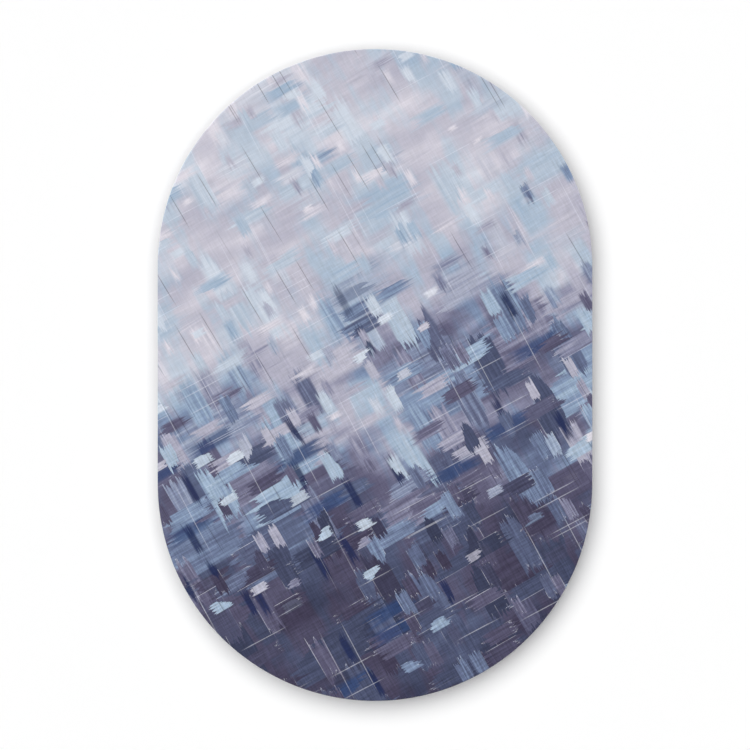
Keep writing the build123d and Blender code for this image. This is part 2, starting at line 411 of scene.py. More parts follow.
def ring_mesh(profile, gap=0.0):
    """A closed section, a list of (inset, depth), carried round the outline, with a gap of that
    length at the lowest point if one is given. Its UV map is the length round the rim and the
    length round the section, in metres."""
    stations = whole_outline()
    if gap:
        turn = gap / 2 / RADIUS
        kept = [s for s in stations if s[0] > -ARC_HEIGHT or s[1] > turn - math.pi / 2]
        ends = [(-ARC_HEIGHT, turn - math.pi / 2, side) for side in (1, -1)]
        stations = [ends[0], *kept, ends[1]]
    count, size = len(stations), len(profile)
    points = [outline_point(s, inset, depth) for s in stations for inset, depth in profile]
    rim = [outline_point(s, 0, 0) for s in stations]
    along, across = lengths_along(rim + rim[:1]), lengths_along(profile + profile[:1])
    faces, corners = skin(count, size, closed=not gap), []
    for i in range(count - 1 if gap else count):
        for k in range(size):
            corners += [(along[i], across[k]), (along[i + 1], across[k])]
            corners += [(along[i + 1], across[k + 1]), (along[i], across[k + 1])]
    if gap:
        for first in (0, (count - 1) * size):
            faces.append(range(first, first + size))
            corners += profile
    return mesh_of(points, faces, corners=corners)


def arc_points(centre, reach, start, end, steps):
    """Points on a circle, (inset, depth), from start to end degrees."""
    turns = [math.radians(start + (end - start) * i / steps) for i in range(steps + 1)]
    return [(centre[0] + reach * math.cos(t), centre[1] + reach * math.sin(t)) for t in turns]


def rounded_section(inset, inner, front, rear, radius, steps=3):
    """A rectangle with rounded corners, as (inset, depth) points."""
    outer, inner, front, rear = inset + radius, inner - radius, front + radius, rear - radius
    points = []
    for i, centre in enumerate(((inner, rear), (outer, rear), (outer, front), (inner, front))):
        points += arc_points(centre, radius, 90 * i, 90 * (i + 1), steps)
    return points


def pucker_height(along, inset):
    """How far the rear cloth stands out where the binding's seam gathers it."""
    start, crest, end = BINDING_INNER + 2 * MM, BINDING_INNER + 20 * MM, PUCKER_INSETS[-1]
    rise = min(1.0, max(0.0, (inset - start) / (crest - start)))
    fall = min(1.0, max(0.0, (end - inset) / (end - crest)))
    turn = 2 * math.pi * along / RIM_LENGTH
    wave = sum(math.sin(turn * count + phase) for count, phase in PUCKER_WAVES)
    gather = 0.5 + 0.5 * math.cos(turn * PUCKER_GROUPS)
    level = min(1.0, max(0.0, wave) / 1.6)
    return PUCKER_RISE * rise * fall**1.5 * level * (0.3 + 0.7 * gather)


def cloth_mesh(inset, front, rear, edge, puckered=False):
    """A cloth over the whole outline in two layers, front and rear, whose edges stand at inset.
    edge is the (inset, depth) points that join the front layer's edge to the rear one's. Its UV
    map is the place on the panel, across and up, in metres, and runs on round the edge. If it is
    puckered, its rear layer is gathered along the binding."""
    side, stations = right_side(), whole_outline()
    points, places, faces = [], [], []

    def grid(depth, flip, edge_inset):
        """One flat layer. Returns the indices round its edge in whole_outline order."""
        rows = []
        for centre, angle in side:
            reach = (RADIUS - edge_inset) * math.cos(angle)
            height = centre + (RADIUS - edge_inset) * math.sin(angle)
            pole = abs(abs(angle) - math.pi / 2) < 1e-6
            columns = [0.0] if pole else [2 * c / COLUMNS - 1 for c in range(COLUMNS + 1)]
            row = list(range(len(points), len(points) + len(columns)))
            rows.append(row * (COLUMNS + 1) if pole else row)
            points.extend((reach * column, depth, height) for column in columns)
            places.extend((reach * column, height) for column in columns)
        for low, high in zip(rows, rows[1:]):
            for c in range(COLUMNS):
                face = list(dict.fromkeys((low[c], low[c + 1], high[c + 1], high[c])))
                faces.append(face[::-1] if flip else face)
        return [row[-1] for row in rows] + [row[0] for row in reversed(rows[1:-1])]

    def ring(ring_points, ring_places):
        """One point for each station. Returns their indices."""
        first = len(points)
        points.extend(ring_points)
        places.extend((place.x, place.z) for place in ring_places)
        return list(range(first, len(points)))

    loops = [grid(front, False, inset)]
    for point, turned in zip(edge, lengths_along([(inset, front), *edge])[1:]):
        spread = [outline_point(s, inset, 0) + outward(s) * turned for s in stations]
        loops.append(ring([outline_point(s, *point) for s in stations], spread))
    along = lengths_along([outline_point(s, 0, 0) for s in stations])
    for pucker in PUCKER_INSETS[:-1] if puckered else []:
        raised = [outline_point(s, pucker, rear + pucker_height(a, pucker)) for s, a in zip(stations, along)]
        loops.append(ring(raised, raised))
    loops.append(grid(rear, True, PUCKER_INSETS[-1] if puckered else inset))
    for a, b in zip(loops, loops[1:]):
        for i in range(len(stations)):
            j = (i + 1) % len(stations)
            faces.append((a[i], a[j], b[j], b[i]))
    return mesh_of(points, faces, places)


# ---- Stitches ----

BEAD_STATIONS = ((-0.5, 0.3), (-0.3, 1.0), (0.3, 1.0), (0.5, 0.3))  # (place along it, size)
BEAD_TURNS = [math.radians(t) for t in (0, 60, 120, 180)]
STITCH_SLANT = 4  # degrees, at most
REARWARDS = Vector((0, 1, 0))


def add_bead(points, faces, middle, along, up, length=STITCH_LENGTH):
    """One stitch: a low rounded bead standing on middle."""
    across = along.cross(up).normalized()
    base = len(points)
    for place, size in BEAD_STATIONS:
        for turn in BEAD_TURNS:
            offset = across * (math.cos(turn) * size * THREAD_WIDTH / 2)
            offset += up * (math.sin(turn) * size * THREAD_HEIGHT)
            points.append(middle + along * (place * length) + offset)
    size = len(BEAD_TURNS)
    faces += skin(len(BEAD_STATIONS), size, first=base)
    faces += [range(base, base + size), range(len(points) - size, len(points))[::-1]]


def stitch_mesh(lines, up, pitch):
    """Stitches along straight lines, each (start, end)."""
    points, faces = [], []
    for start, end in lines:
        count = max(1, round((end - start).length / pitch))
        along = (end - start).normalized()
        for i in range(count):
            middle = start.lerp(end, (i + 0.5) / count)
            add_bead(points, faces, middle, along, up, STITCH_LENGTH * pitch / STITCH_PITCH)
    return mesh_of(points, faces)


def rim_stitch_mesh(insets, depth):
    """Rows of stitches right round the rim, standing out to the rear from depth."""
    points, faces = [], []
    slant = random.Random(7)
    for inset in insets:
        reach = RADIUS - inset
        total = 2 * math.pi * reach + 4 * ARC_HEIGHT
        count = round(total / STITCH_PITCH)
        for i in range(count):
            run = (i + 0.5) * total / count
            side = 1 if run < total / 2 else -1
            rise = min(run, total - run) - total / 4  # along that side, from its middle
            centre = max(-ARC_HEIGHT, min(ARC_HEIGHT, rise))
            station = (centre, (rise - centre) / reach, side)
            along = outward(station).cross(REARWARDS)
            lean = math.radians(slant.uniform(-STITCH_SLANT, STITCH_SLANT))
            along.rotate(Matrix.Rotation(lean, 3, "Y"))
            add_bead(points, faces, outline_point(station, inset, depth), along, REARWARDS)
    return mesh_of(points, faces)


# ---- Finishes ----


def panel_place(nodes):
    """A point's place on its UV map, in metres: across and up on a cloth, along and across on a tape."""
    return nodes.add("ShaderNodeUVMap", uv_map="flat")


def solid_place(nodes):
    return nodes.add("ShaderNodeTexCoord", out="Object")


def weave(nodes, place, pitch):
    """A plain weave's height, 0 to 1, with yarns pitch metres apart."""
    across, up, _ = nodes.split(nodes.scaled(place, math.pi / pitch))
    over = nodes.times(nodes.math("SINE", across), nodes.math("SINE", up))
    over = nodes.step(over, -0.3, 0.3)
    warp = nodes.times(nodes.humps(across), over)
    weft = nodes.times(nodes.humps(up), nodes.minus(1.0, over))
    return nodes.plus(warp, weft)


# The print: a generic abstract of knife strokes, dark at the foot and pale at the upper left.

PAINTS = (
    # tone, warm colour, cool colour
    (0.00, srgb(56, 51, 74), srgb(50, 55, 80)),
    (0.20, srgb(76, 73, 98), srgb(71, 78, 106)),
    (0.38, srgb(96, 94, 120), srgb(92, 102, 132)),
    (0.50, srgb(134, 135, 160), srgb(126, 144, 174)),
    (0.62, srgb(172, 171, 189), srgb(160, 180, 202)),
    (0.80, srgb(191, 189, 203), srgb(180, 193, 209)),
    (1.00, srgb(222, 218, 227), srgb(206, 214, 226)),
)
NAVY = srgb(12, 28, 72)
DEEP_BLUE = srgb(36, 62, 108)
WHITE_PAINT = srgb(232, 234, 244)
DARK_PAINT = srgb(52, 48, 66)
DARKEST, PALEST = 0.12, 0.82  # tones of the design's two ends
RISING, FALLING = 30, -60  # the two ways that most strokes lie, in degrees

LAYERS = (
    # size, angle, shift, share shown, lift in tone, spread in tone, streaks, highlight at the edge
    ((0.230, 0.120), RISING, (3.1, 1.7, 0.0), 0.75, 0.00, 0.30, 0.60, 0.0),
    ((0.150, 0.062), FALLING, (7.3, 2.9, 0.0), 0.60, 0.00, 0.40, 0.60, 0.30),
    ((0.120, 0.044), RISING, (1.9, 8.2, 0.0), 0.50, 0.01, 0.46, 0.60, 0.45),
    ((0.070, 0.034), FALLING, (5.7, 4.4, 0.0), 0.30, 0.03, 0.60, 0.55, 0.50),
    ((0.046, 0.026), RISING, (8.8, 0.6, 0.0), 0.05, 0.46, 0.30, 0.50, 0.35),
)
COARSE_LAYERS = 3  # that lie under the touches of deep blue
TOUCHES = (
    # size, angle, shift, share shown, paint, how solid
    ((0.150, 0.046), RISING, (6.4, 1.2, 0.0), 0.10, DEEP_BLUE, 0.70),
    ((0.100, 0.026), FALLING, (1.6, 9.3, 0.0), 0.09, NAVY, 0.85),
)
SCRATCHES = (
    # size, angle, shift, share shown, paint, how solid
    ((0.150, 0.0036), 28, (2.2, 6.1, 0.0), 0.030, WHITE_PAINT, 0.32),
    ((0.230, 0.0034), -62, (9.4, 3.3, 0.0), 0.026, WHITE_PAINT, 0.30),
    ((0.140, 0.0036), -59, (4.8, 7.9, 0.0), 0.030, DARK_PAINT, 0.45),
)


def design_tone(nodes, place):
    """How pale the design is at a place, from dark at the foot to pale at the upper left."""
    slope = nodes.vector("DOT_PRODUCT", place, (-0.42, 0.95, 0.0), out=1)
    drift = nodes.minus(nodes.noise(place, 2.6, detail=1.0), 0.5)
    level = nodes.step(nodes.plus(slope, nodes.times(drift, 1.2)), -0.60, 0.42)
    return nodes.span(level, DARKEST, PALEST)


def strokes(nodes, place, size, angle, shift):
    """Palette-knife strokes about size (long, wide) in metres, laid at angle degrees. Gives each
    stroke's random numbers, its middle's place on the panel, how far out in the stroke the point
    is, 0.5 being about its edge, and the streaks that run along it."""
    scale = (1 / size[0], 1 / size[1], 1.0)
    lie = nodes.mapped(place, scale, angle, shift)
    streak = nodes.noise(nodes.vector("MULTIPLY", lie, (0.7, 7.0, 1.0)), 1.0, detail=3.0, roughness=0.65)
    streak = nodes.minus(streak, 0.5)
    ragged = nodes.add("ShaderNodeCombineXYZ", {0: nodes.times(streak, 0.9)})
    inputs = {"Vector": nodes.vector("ADD", lie, ragged), "Scale": 1.0, "Randomness": 0.8}
    near = nodes.add("ShaderNodeTexVoronoi", inputs, voronoi_dimensions="2D", distance="CHEBYCHEV").node
    middle = nodes.vector("SUBTRACT", near.outputs["Position"], shift)
    middle = nodes.mapped(nodes.vector("MULTIPLY", middle, (*size, 0.0)), angle=-angle)
    return nodes.split(near.outputs["Color"]), middle, near.outputs["Distance"], streak


def chosen(nodes, chance, share, blur=0.01):
    """1 for that share of the strokes, picked by one of their random numbers, and 0 for the others."""
    return nodes.step(chance, 1 - share, 1 + blur - share)


def paint_colour(nodes, tone, warmth, streak, streaks):
    """A stroke's paint at that tone, warmer or cooler, and streaked."""
    level = nodes.plus(tone, nodes.times(streak, streaks))
    warm = nodes.ramp(level, [(at, colour) for at, colour, _ in PAINTS])
    cool = nodes.ramp(level, [(at, colour) for at, _, colour in PAINTS])
    return nodes.mix(nodes.step(warmth, 0.40, 0.65), warm, cool)


def ground_colour(nodes, place, tone):
    """The smeared paint under the strokes."""
    smear = nodes.minus(nodes.noise(nodes.mapped(place, (3.0, 11.0, 1.0), RISING), 1.0, detail=4.0), 0.5)
    cross = nodes.minus(nodes.noise(nodes.mapped(place, (4.0, 14.0, 1.0), FALLING), 1.0, detail=4.0), 0.5)
    return paint_colour(nodes, tone, nodes.plus(nodes.times(cross, 1.6), 0.5), smear, 0.9)


def add_layer(nodes, place, colour, softness, layer):
    """Lays a layer of strokes, each near the tone of its place, over the colour."""
    size, angle, shift, share, lift, spread, streaks, ridge = layer
    chances, middle, out, streak = strokes(nodes, place, size, angle, shift)
    tone = nodes.plus(design_tone(nodes, middle), lift)
    tone = nodes.plus(tone, nodes.times(nodes.minus(chances[0], 0.5), spread))
    paint = paint_colour(nodes, tone, chances[1], streak, streaks)
    edge = nodes.plus(nodes.times(chances[1], 0.22), 0.3)
    inner = nodes.minus(edge, nodes.span(softness, 0.03, 0.3))
    shown = nodes.times(nodes.step(out, edge, inner), chosen(nodes, chances[2], share, 0.02))
    colour = nodes.mix(shown, colour, paint)
    if not ridge:
        return colour
    line = nodes.math("ABSOLUTE", nodes.minus(out, nodes.minus(edge, 0.02)))
    line = nodes.times(nodes.step(line, 0.025, 0.0), nodes.step(streak, 0.0, 0.15))
    line = nodes.times(line, shown, ridge * 2)
    return nodes.mix(line, colour, WHITE_PAINT)


def add_touches(nodes, place, colour):
    """Touches of deep blue, scattered over the dark and where it meets the pale."""
    for size, angle, shift, share, paint, most in TOUCHES:
        chances, middle, out, _ = strokes(nodes, place, size, angle, shift)
        shown = nodes.times(chosen(nodes, chances[0], share), nodes.step(out, 0.45, 0.2))
        shown = nodes.times(shown, nodes.step(design_tone(nodes, middle), 0.72, 0.55), most)
        colour = nodes.mix(shown, colour, paint)
    return colour


def add_scratches(nodes, place, colour):
    for size, angle, shift, share, paint, most in SCRATCHES:
        chances, _, out, _ = strokes(nodes, place, size, angle, shift)
        shown = nodes.times(chosen(nodes, chances[0], share), nodes.step(out, 0.4, 0.2), most)
        colour = nodes.mix(shown, colour, paint)
    return colour


def add_drag(nodes, place, colour, tone):
    """The fine lines that the knife draws in the paint, both ways, strongest in the dark."""
    lines = (22.0, 260.0, 1.0)
    drag = nodes.noise(nodes.mapped(place, lines, RISING), 1.0, detail=3.0, roughness=0.7)
    cross_drag = nodes.noise(nodes.mapped(place, lines, FALLING), 1.0, detail=3.0, roughness=0.7)
    grain = nodes.minus(nodes.plus(drag, cross_drag), 1.0)
    depth = nodes.span(tone, 1.2, 0.3, DARKEST, PALEST)
    return nodes.scaled(colour, nodes.plus(nodes.times(grain, depth), 1.0))


def print_colour(nodes, place):
    tone = design_tone(nodes, place)
    softness = nodes.step(tone, 0.35, 0.75)
    colour = ground_colour(nodes, place, tone)
    for layer in LAYERS[:COARSE_LAYERS]:
        colour = add_layer(nodes, place, colour, softness, layer)
    colour = add_touches(nodes, place, colour)
    for layer in LAYERS[COARSE_LAYERS:]:
        colour = add_layer(nodes, place, colour, softness, layer)
    colour = add_scratches(nodes, place, colour)
    return add_drag(nodes, place, colour, tone)


def printed_cloth():
    nodes = new_material("printed_cloth")
    place = panel_place(nodes)
    relief = nodes.bump(weave(nodes, place, 0.8 * MM), 0.06 * MM, 0.5)
    soft = {"Sheen Roughness": 0.4}
    return nodes.surface(print_colour(nodes, place), 0.82, relief, specular=0.25, sheen=0.1, **soft)


def plain_cloth(slot, colour, pitch, rough=0.9, mottle=0.12):
    """A plain woven cloth, a little mottled, with slubs along its yarns."""
    nodes = new_material(slot)
    place = panel_place(nodes)
    cloud = nodes.noise(place, 5.0, detail=4.0)
    slub = nodes.noise(nodes.vector("MULTIPLY", place, (60.0, 900.0, 1.0)), 1.0, detail=2.0)
    level = nodes.plus(nodes.times(cloud, 0.6), nodes.times(slub, 0.4))
    shade = nodes.mix(nodes.step(level, 0.3, 0.7), shaded(colour, 1 - mottle), shaded(colour, 1 + mottle))
    relief = nodes.bump(weave(nodes, place, pitch), 0.1 * MM, 0.6)
    return nodes.surface(shade, rough, relief, specular=0.25, sheen=0.15)


def tape(slot, colour, rib):
    """A woven tape with ribs across it, rib metres apart, rubbed here and there. Its ribs are painted
    lighter on their crests and darker between them: painted light and painted shade.
    """
    nodes = new_material(slot)
    place = panel_place(nodes)
    along, _, _ = nodes.split(place)
    ribs = nodes.humps(nodes.times(along, math.pi / rib))
    wear = nodes.noise(nodes.vector("MULTIPLY", place, (35.0, 160.0, 1.0)), 1.0, detail=3.0)
    # The ribs in this mix are painted light on their crests and painted shade between them; the noise is
    # rubbed wear.
    level = nodes.plus(nodes.times(ribs, 0.5), nodes.times(wear, 0.5))
    shade = nodes.mix(level, shaded(colour, 0.75), shaded(colour, 1.25))
    relief = nodes.bump(ribs, 0.15 * MM, 0.7)
    return nodes.surface(shade, 0.85, relief, specular=0.3, sheen=0.2)


def thread(slot, colour):
    nodes = new_material(slot)
    twist = nodes.noise(solid_place(nodes), 900.0, detail=1.0)
    # The colour follows the bump's noise, darker where it is low: painted shade in the thread's dips.
    shade = nodes.mix(twist, shaded(colour, 0.75), colour)
    relief = nodes.bump(twist, 0.08 * MM, 0.5)
    return nodes.surface(shade, 0.6, relief, specular=0.4)


def metal(slot, colour, rough, stretch=(1.0, 1.0, 1.0)):
    """Metal with fine brushing and a few rubbed patches."""
    nodes = new_material(slot)
    place = solid_place(nodes)
    brushed = nodes.noise(nodes.vector("MULTIPLY", place, stretch), 700.0, detail=3.0)
    rubbed = nodes.noise(place, 90.0, detail=3.0)
    shade = nodes.mix(rubbed, shaded(colour, 0.8), colour)
    roughness = nodes.span(brushed, rough - 0.08, rough + 0.1)
    relief = nodes.bump(brushed, 0.03 * MM, 0.3)
    return nodes.surface(shade, roughness, relief, Metallic=1.0)


def felt(slot, colour, scale):
    """A soft matted or napped surface, painted darker where its nap is low: painted shade in the nap's
    hollows.
    """
    nodes = new_material(slot)
    fluff = nodes.noise(solid_place(nodes), scale, detail=4.0, roughness=0.7)
    # Darker where the fluff is low: painted shade in the nap's hollows.
    shade = nodes.mix(fluff, shaded(colour, 0.6), colour)
    relief = nodes.bump(fluff, 0.4 * MM, 0.8)
    return nodes.surface(shade, 0.95, relief, specular=0.2, sheen=0.4)


PRINTED_CLOTH = printed_cloth()
REAR_CLOTH = plain_cloth("rear_cloth", srgb(92, 94, 108), pitch=0.7 * MM)
LINING = plain_cloth("blackout_lining", srgb(38, 38, 42), pitch=0.5 * MM, rough=0.6, mottle=0.06)
GUSSET_CLOTH = tape("edge_gusset", srgb(44, 46, 56), rib=0.9 * MM)
BINDING_TAPE = tape("rear_binding", srgb(34, 35, 42), rib=1.2 * MM)
SLEEVE_TAPE = tape("band_sleeve", srgb(196, 196, 190), rib=1.0 * MM)
WEBBING = tape("webbing", srgb(40, 41, 47), rib=1.6 * MM)
ELASTIC = tape("elastic", srgb(30, 30, 34), rib=1.1 * MM)
THREAD = thread("thread", srgb(150, 152, 166))
NICKEL = metal("nickel", srgb(196, 194, 188), rough=0.28)
SPRING_STEEL = metal("spring_steel", srgb(120, 124, 134), rough=0.35, stretch=(0.2, 1.0, 0.2))
FERRULE_STEEL = metal("ferrule_steel", srgb(176, 178, 182), rough=0.4, stretch=(0.2, 1.0, 1.0))
FLEECE = felt("fleece_pad", srgb(26, 26, 29), scale=900.0)
HOOKS = felt("hook_pad", srgb(28, 28, 31), scale=1500.0)
BACKING = felt("backing", srgb(150, 150, 152), scale=500.0)


# ---- Cloths and rim ----

ROLL = 1.5 * MM  # radius at which the cloths turn over the rim's edges
TUCK = (0.4 * MM, ROLL + 0.3 * MM)  # (inset, depth) where the front cloth's edge meets the gusset
GUSSET = 0.6 * MM  # its thickness
FRONT_ALLOWANCE = 8 * MM  # how far the gusset is turned in behind the front cloth
REAR_INSET = inset_of("rear_cloth_upper")
LINING_INSET = inset_of("blackout_lining_upper")
SLEEVE_FRONT, SLEEVE_REAR = depths_of("band_sleeve_upper")
BAND_FRONT, BAND_REAR = depths_of("spring_band_upper")
BAND_OUTER = inset_of("spring_band_upper")
BAND_INNER = BAND_OUTER + 1.0 * MM
BAND_CORNER = 0.25 * MM
BAND_END_GAP = 2 * MM
SLEEVE_WALL = 0.4 * MM
SLEEVE_CLEARANCE = 0.6 * MM  # between the sleeve and the band
SLEEVE_TAIL = 12 * MM  # inset of the inner edge of the sleeve's sewn tail
SLEEVE_MOUTH = 84 * MM  # length left open where the band's ends are joined


def make_cloths():
    edge = arc_points((ROLL, ROLL), ROLL, -90, -180, 6)[1:]
    mesh = cloth_mesh(ROLL, 0.0, CLOTH, [*edge, TUCK])
    front = wrap_panel("front_cloth", mesh, PRINTED_CLOTH, sharp=80)

    lining_rear = depths_of("blackout_lining_upper")[1]
    lining = wrap_panel("blackout_lining", cloth_mesh(LINING_INSET, CLOTH, lining_rear, []), LINING)

    rear_front = depths_of("rear_cloth_upper")[0]
    mesh = cloth_mesh(REAR_INSET, rear_front, DEPTH, [(REAR_INSET, DEPTH)], puckered=True)
    wrap_panel("rear_cloth", mesh, REAR_CLOTH)


def make_rim():
    """The gusset, the binding over its rear seam, and their stitches."""
    profile = [(FRONT_ALLOWANCE, CLOTH), (FRONT_ALLOWANCE, SLEEVE_FRONT), (GUSSET * 2, SLEEVE_FRONT)]
    profile += [(GUSSET, SLEEVE_FRONT + GUSSET), (GUSSET, SLEEVE_REAR - GUSSET), (GUSSET * 2, SLEEVE_REAR)]
    profile += [(REAR_INSET, SLEEVE_REAR), (REAR_INSET, DEPTH)]
    profile += arc_points((ROLL, DEPTH - ROLL), ROLL, 90, 180, 6)
    profile += [(0.0, ROLL + 0.6 * MM), TUCK, (ROLL, CLOTH)]
    gusset = wrap_panel("edge_gusset", ring_mesh(profile), GUSSET_CLOTH, sharp=50)

    profile = rounded_section(BINDING_INSET, BINDING_INNER, DEPTH, BINDING_REAR, 0.28 * MM)
    wrap_panel("rear_binding", ring_mesh(profile), BINDING_TAPE, sharp=50)
    wrap_panel("binding_stitching", rim_stitch_mesh(ROW_INSETS, BINDING_REAR), THREAD)
    seam_inset = inset_of("front_seam_stitching_upper") + THREAD_WIDTH / 2
    wrap_panel("front_seam_stitching", rim_stitch_mesh((seam_inset,), SLEEVE_FRONT), THREAD)


def make_band():
    """The steel band and its sleeve. The ferrule and rivets that join the band's ends are finished at the
    end of the script.
    """
    outer, inner = BAND_OUTER - SLEEVE_CLEARANCE, BAND_INNER + SLEEVE_CLEARANCE
    front, rear = BAND_FRONT - SLEEVE_CLEARANCE, BAND_REAR + SLEEVE_CLEARANCE
    slit = rear - 0.05 * MM  # between the sleeve's inner wall and its tail
    wall = SLEEVE_WALL
    profile = [(SLEEVE_TAIL, rear + wall), (outer - wall, rear + wall), (outer - wall, front - wall)]
    profile += [(inner + wall, front - wall), (inner + wall, slit), (inner, slit)]
    profile += [(inner, front), (outer, front), (outer, rear), (SLEEVE_TAIL, rear)]
    wrap_panel("band_sleeve", ring_mesh(profile, SLEEVE_MOUTH), SLEEVE_TAPE)
    section = rounded_section(BAND_OUTER, BAND_INNER, BAND_FRONT, BAND_REAR, BAND_CORNER)
    wrap_panel("spring_band", ring_mesh(section, BAND_END_GAP), SPRING_STEEL)


def refinish(node, material):
    """Gives a CAD node that stays in view its finish."""
    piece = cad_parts[node]
    if not piece.material_slots:
        piece.data.materials.append(material)
    for each in piece.material_slots:
        each.material = material


# ---- Hanging tab and retaining strap ----
# Each is described in its own axes: across it, an inset from the outline, and a height above the
# panel's rear face. rim_frame turns those into the panel's own. A base is the height of a strip's
# underside, an end the inset where the strip ends.

FOLD_INSET = 4 * MM
WEB = 1.2 * MM  # thickness of the webbing and of the elastic
ROOT_BASE = 0.9 * MM
ROOT_TOP = ROOT_BASE + WEB
ROOT_END = 24 * MM
ROOT_STITCHES = (7.3 * MM, 21 * MM)  # from one inset to another
ROOT_MARGIN = 3 * MM  # from those stitches to each side of the strip
SMALL_PITCH = 2.6 * MM  # of the stitches on the tab and the strap

TAB_WIDTH, TAB_BASE, TAB_END, TAB_CORNER = 25 * MM, 2.4 * MM, 68 * MM, 4 * MM
TAB_TOP = TAB_BASE + WEB
TAB_STITCHES = (42 * MM, 66 * MM)
TAB_MARGIN = 1 * MM
EYELET_INSET, EYELET_BORE = 54 * MM, 5 * MM
EYELET_BARREL, EYELET_RIM = EYELET_BORE + 0.6 * MM, EYELET_BORE + 4.6 * MM
EYELET_FIT = 0.05 * MM  # clearance round its barrel
FLANGE = 0.8 * MM  # how far the eyelet stands out from the webbing
LATHE_STEPS = 72

STRAP_ANGLE = -48.0
STRAP_WIDTH, STRAP_BASE, STRAP_END, STRAP_CORNER = 20 * MM, 2.9 * MM, 154 * MM, 6 * MM
HOOK_PAD, HOOK_WIDTH = (104 * MM, 142 * MM), 17 * MM
FLEECE_PAD, FLEECE_WIDTH = (8.8 * MM, 19.5 * MM), 11 * MM
PAD = 0.8 * MM  # thickness of the hook pad, hooks included


def rim_frame(angle):
    """The rim's axes at angle degrees clockwise round the top arc, seen from the front."""
    turn = math.radians(angle)
    outwards = Vector((math.sin(turn), 0, math.cos(turn)))
    along = Vector((math.cos(turn), 0, -math.sin(turn)))
    place = Vector((0, DEPTH, ARC_HEIGHT)) + outwards * RADIUS
    axes = Matrix((along, -outwards, REARWARDS)).transposed().to_4x4()
    return Matrix.Translation(place) @ axes


def hairpin_path(base, end):
    """The middle of a strip, (inset, height) points: along its root, round its fold, and out to end."""
    low, high = ROOT_BASE + WEB / 2, base + WEB / 2
    bend = (high - low) / 2
    turn = FOLD_INSET + bend
    root = [(ROOT_END + (turn - ROOT_END) * i / 8, low) for i in range(8)]
    fold = arc_points((turn, low + bend), bend, 270, 90, 16)
    steps = round((end - turn) / (3 * MM))
    return root + fold + [(turn + (end - turn) * i / steps, high) for i in range(1, steps + 1)]


def strip_mesh(place, width, path, corner):
    """A flat woven strip along path, whose last stretch is level. Its edges are rounded, and its
    free end's corners by corner. Its UV map is the length along it and across it, in metres."""
    run = lengths_along(path)
    spots = list(zip(run, path))
    for turn in (0, 20, 40, 55, 70, 80):
        back = corner * (1 - math.sin(math.radians(turn)))
        spots.append((run[-1] - back, (path[-1][0] - back, path[-1][1])))
    spots.sort()
    points, places = [], []
    for i, (spot, (inset, height)) in enumerate(spots):
        before, after = spots[max(0, i - 1)][1], spots[min(len(spots) - 1, i + 1)][1]
        slope = Vector((after[0] - before[0], after[1] - before[1])).normalized()
        normal = Vector((-slope.y, slope.x))
        past = max(0.0, spot - (run[-1] - corner))
        half = width / 2 - corner + math.sqrt(max(0.0, corner**2 - past**2)) if past else width / 2
        section = rounded_section(-half, half, -WEB / 2, WEB / 2, 0.4 * WEB, 2)
        for across, up in section:
            points.append(place @ Vector((across, inset + normal.x * up, height + normal.y * up)))
            places.append((spot, across))
    size = len(section)
    faces = skin(len(spots), size)
    faces += [range(size), range(len(points) - size, len(points))]
    return mesh_of(points, faces, places)


def stand_in(name, node, mesh, material, body, sharp=35.0):
    """A piece on one body that stands for a CAD node."""
    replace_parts(finish_piece(name, mesh, material, body, sharp), node)


def flap_strip(name, nodes, mesh, material, hole=None):
    """A strip that is sewn to the panel at one end and stands for its flap's CAD nodes. hole is
    the (place, radius) of a round hole in it."""
    piece = finish_piece(name, mesh, material, sharp=50)
    if hole:
        punch(piece, *hole)
    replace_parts(piece, *nodes)
    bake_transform(piece)


def punch(piece, place, radius):
    """Cuts a round hole of that radius through the piece, along place's Z."""
    low, high = -20 * MM, 30 * MM
    mesh = lathe_mesh(place, [(0.0, low), (radius, low), (radius, high), (0.0, high)])
    cutter = bpy.data.objects.new("cutter", mesh)
    bpy.context.collection.objects.link(cutter)
    cut = piece.modifiers.new("hole", "BOOLEAN")
    cut.operation = "DIFFERENCE"
    cut.object = cutter
    bpy.context.view_layer.update()
    done = bpy.data.meshes.new_from_object(piece.evaluated_get(bpy.context.evaluated_depsgraph_get()))
    piece.modifiers.clear()
    old, piece.data = piece.data, done
    bpy.data.meshes.remove(old)
    bpy.data.objects.remove(cutter)
    done.name = piece.name


def lathe_mesh(place, profile):
    """A closed (radius, height) profile turned about place's Z."""
    points = []
    for i in range(LATHE_STEPS):
        turn = 2 * math.pi * i / LATHE_STEPS
        for radius, height in profile:
            points.append(place @ Vector((radius * math.cos(turn), radius * math.sin(turn), height)))
    mesh = mesh_of(points, skin(LATHE_STEPS, len(profile), closed=True))
    work = bmesh.new()
    work.from_mesh(mesh)
    bmesh.ops.remove_doubles(work, verts=work.verts, dist=1e-7)
    work.to_mesh(mesh)
    work.free()
    return mesh


def stitched_box(node, place, width, span, height, body, crossed=False):
    """Stitches in a box across a strip, with a cross inside if crossed."""
    x = width / 2 - THREAD_WIDTH / 2
    low, high = span[0] + THREAD_WIDTH / 2, span[1] - THREAD_WIDTH / 2
    spots = [place @ Vector((*spot, height)) for spot in ((-x, low), (x, low), (x, high), (-x, high))]
    lines = list(zip(spots, spots[1:] + spots[:1]))
    if crossed:
        lines += [(spots[0], spots[2]), (spots[1], spots[3])]
    up = place.to_3x3() @ Vector((0, 0, 1))
    mesh = stitch_mesh(lines, up, SMALL_PITCH)
    stand_in(f"{node}_stitches", f"{node}_stitching", mesh, THREAD, body)


